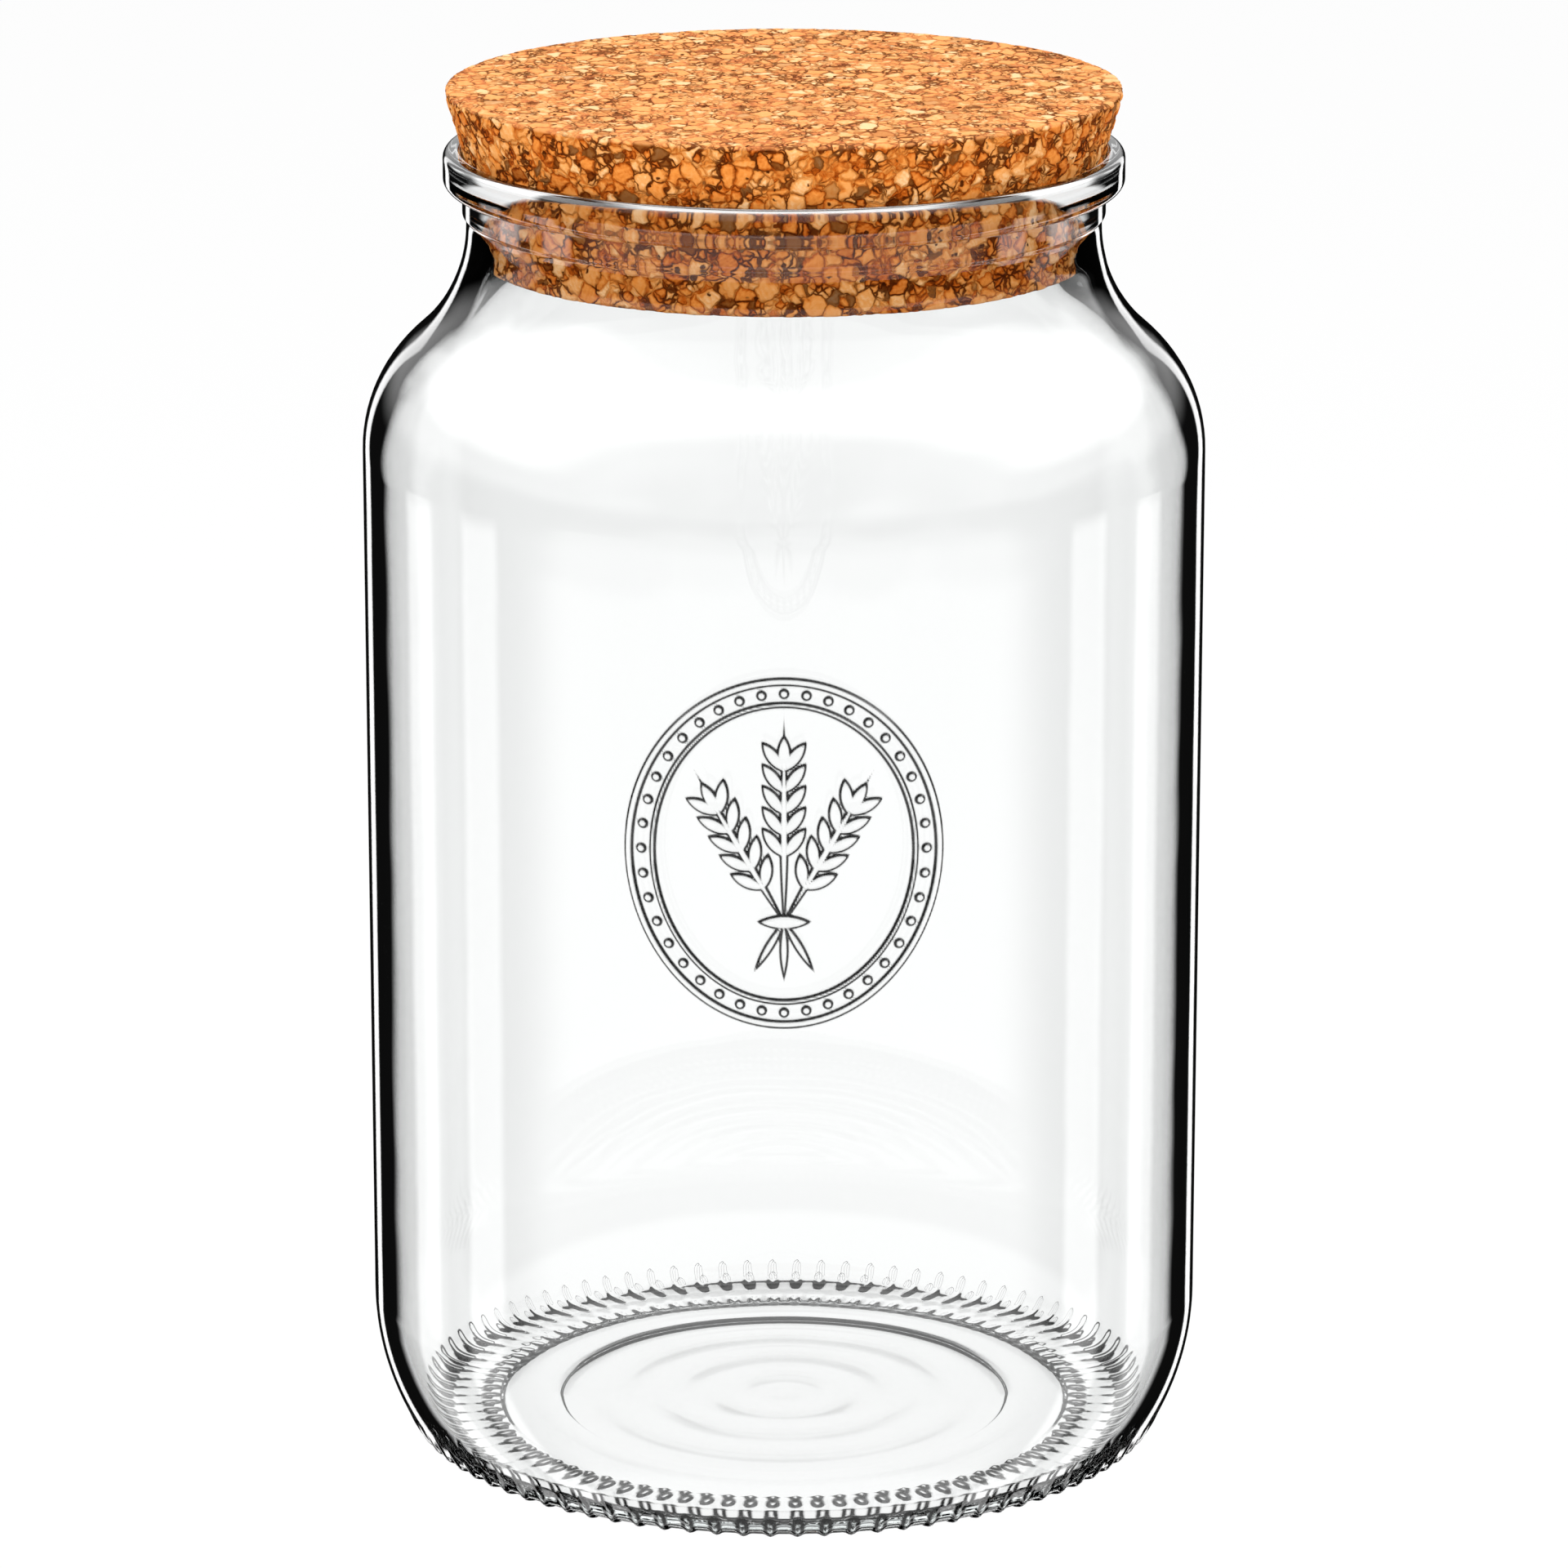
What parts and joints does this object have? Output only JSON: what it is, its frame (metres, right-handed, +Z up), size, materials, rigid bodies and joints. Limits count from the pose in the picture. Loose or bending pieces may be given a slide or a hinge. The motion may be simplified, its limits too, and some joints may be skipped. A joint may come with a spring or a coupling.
{
  "type": "glass jar with cork lid",
  "caption": "Wide-mouth clear glass storage jar with rounded shoulder, beaded rim, ribbed foot and raised oval emblem, closed by a tapered cork lid that lifts out.",
  "frame": {"origin": "centre of the foot, on the surface that the jar stands on", "axes": "+Z up along the jar's axis, -Y out of the front, where the raised emblem is"},
  "size_m": [0.155, 0.1556, 0.2553],
  "materials": {
    "clear_glass": "smooth clear moulded glass with a faint green-grey tint in its thick parts",
    "cork": "pressed cork grains in tan and brown with dark pores, matt"
  },
  "bodies": {
    "jar": {"glass_jar": "clear_glass"},
    "lid": {"cork_lid": "cork"}
  },
  "joints": [
    {"name": "lid_lift", "type": "slide", "parent": "jar", "child": "lid", "axis": [0, 0, 1], "range_m": [0, 0.06]}
  ]
}
